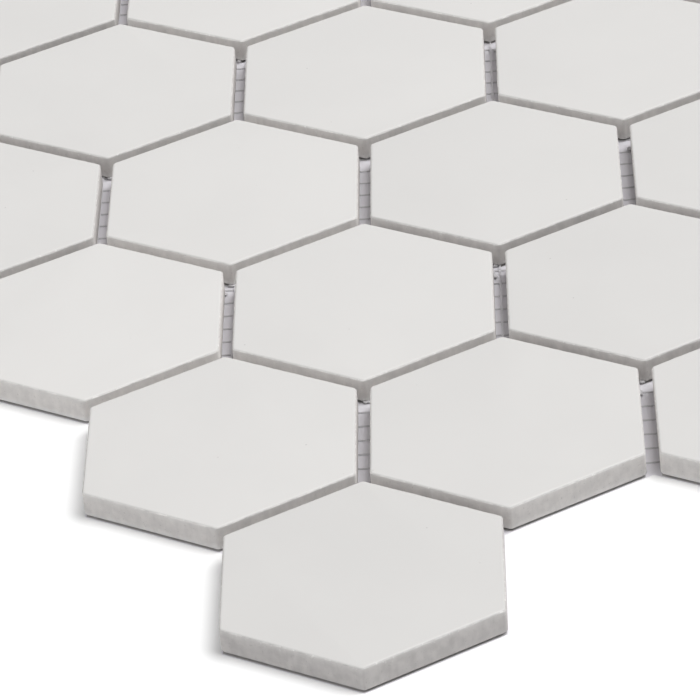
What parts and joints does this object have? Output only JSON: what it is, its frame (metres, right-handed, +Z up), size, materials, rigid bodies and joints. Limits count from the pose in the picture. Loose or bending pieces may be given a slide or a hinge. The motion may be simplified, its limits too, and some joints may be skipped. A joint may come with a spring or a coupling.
{
  "type": "hexagon mosaic tile sheet",
  "caption": "Flat sheet of white glazed porcelain hexagon tiles in staggered rows, held edge to edge with open joints by a thread net glued to their backs, for bedding in tile adhesive.",
  "frame": {"origin": "on the floor under the middle of the sheet's outline, at the net's underside", "axes": "+X along the tile rows, +Y across the rows, +Z up out of the glazed faces"},
  "size_m": [0.3486, 0.293, 0.0055],
  "materials": {
    "porcelain": "matt off-white glaze on the face, bare greyish fired body on the sides and back",
    "net_thread": "white glass-fibre thread with a dull resin coat"
  },
  "bodies": {
    "root": {"tile_r1_c1": "porcelain", "tile_r1_c2": "porcelain", "tile_r1_c3": "porcelain", "tile_r1_c4": "porcelain", "tile_r1_c5": "porcelain", "tile_r1_c6": "porcelain", "tile_r2_c1": "porcelain", "tile_r2_c2": "porcelain", "tile_r2_c3": "porcelain", "tile_r2_c4": "porcelain", "tile_r2_c5": "porcelain", "tile_r2_c6": "porcelain", "tile_r3_c1": "porcelain", "tile_r3_c2": "porcelain", "tile_r3_c3": "porcelain", "tile_r3_c4": "porcelain", "tile_r3_c5": "porcelain", "tile_r3_c6": "porcelain", "tile_r4_c1": "porcelain", "tile_r4_c2": "porcelain", "tile_r4_c3": "porcelain", "tile_r4_c4": "porcelain", "tile_r4_c5": "porcelain", "tile_r4_c6": "porcelain", "tile_r5_c1": "porcelain", "tile_r5_c2": "porcelain", "tile_r5_c3": "porcelain", "tile_r5_c4": "porcelain", "tile_r5_c5": "porcelain", "tile_r5_c6": "porcelain", "tile_r6_c1": "porcelain", "tile_r6_c2": "porcelain", "tile_r6_c3": "porcelain", "tile_r6_c4": "porcelain", "tile_r6_c5": "porcelain", "tile_r6_c6": "porcelain", "net_warp": "net_thread", "net_weft": "net_thread"}
  },
  "joints": []
}
